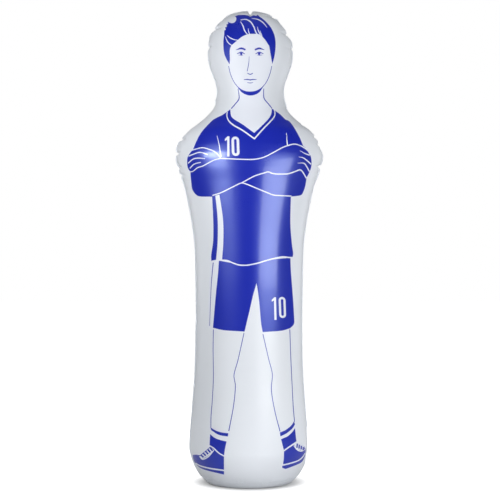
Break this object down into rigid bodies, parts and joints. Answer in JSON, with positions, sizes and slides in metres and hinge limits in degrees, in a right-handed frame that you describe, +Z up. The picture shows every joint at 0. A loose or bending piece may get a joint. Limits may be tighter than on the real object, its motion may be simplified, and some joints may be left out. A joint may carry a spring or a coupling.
{
  "type": "inflatable free kick mannequin",
  "caption": "Inflatable footballer-shaped dummy with a round water-ballast foot, welded film skin, a screw air valve and a screw water plug at the back.",
  "frame": {"origin": "on the floor, at the middle of the flat circle under the base disc", "axes": "+Z up, the printed front faces -Y, the valves are on the +Y side, +X is to the right seen from the front"},
  "size_m": [0.5491, 0.4465, 1.7483],
  "materials": {
    "white_film": "satin",
    "blue_ink": "satin",
    "clear_film": "satin",
    "water": "gloss",
    "white_moulding": "satin",
    "clear_moulding": "satin",
    "seal_rubber": "matte"
  },
  "bodies": {
    "mannequin": {"front_panel": "white_film", "back_panel": "white_film", "base_panel": "white_film", "chamber_wall": "clear_film", "ballast_water": "water", "air_valve_seat": "clear_moulding", "water_port_seat": "clear_moulding"},
    "valve_seal": {"air_valve_seal": "seal_rubber"},
    "valve_insert": {"air_valve_insert": "white_moulding"},
    "valve_flap": {"air_valve_flap": "seal_rubber"},
    "cap_strap": {"air_valve_strap": "white_moulding"},
    "valve_cap": {"air_valve_cap": "white_moulding"},
    "plug_strap": {"water_port_strap": "white_moulding", "water_port_seal": "seal_rubber"},
    "water_plug": {"water_port_plug": "white_moulding"}
  },
  "joints": [
    {"name": "insert_lift", "type": "slide", "parent": "mannequin", "child": "valve_seal", "axis": [0, 1, 0], "range_m": [0, 0.009]},
    {"name": "insert_turn", "type": "hinge", "parent": "valve_seal", "child": "valve_insert", "pos_m": [0, 0.19486, 0.575], "axis": [0, 1, 0], "range_deg": [0, 720]},
    {"name": "flap_swing", "type": "hinge", "parent": "valve_insert", "child": "valve_flap", "pos_m": [0, 0.18706, 0.5864], "axis": [-1, 0, 0], "range_deg": [0, 25]},
    {"name": "cap_lift", "type": "slide", "parent": "valve_insert", "child": "cap_strap", "axis": [0, 1, 0], "range_m": [0, 0.007], "deforming": ["air_valve_strap"]},
    {"name": "cap_turn", "type": "hinge", "parent": "cap_strap", "child": "valve_cap", "pos_m": [0, 0.19486, 0.575], "axis": [0, 1, 0], "range_deg": [0, 720]},
    {"name": "plug_lift", "type": "slide", "parent": "mannequin", "child": "plug_strap", "axis": [0, 1, 0], "range_m": [0, 0.009], "deforming": ["water_port_strap"]},
    {"name": "plug_turn", "type": "hinge", "parent": "plug_strap", "child": "water_plug", "pos_m": [0, 0.21705, 0.137], "axis": [0, 1, 0], "range_deg": [0, 1080]}
  ],
  "couplings": [
    {"joint": "insert_lift", "follows": "insert_turn", "m_per_rad": 0.0007162},
    {"joint": "cap_lift", "follows": "cap_turn", "m_per_rad": 0.00055704},
    {"joint": "plug_lift", "follows": "plug_turn", "m_per_rad": 0.00047746}
  ]
}
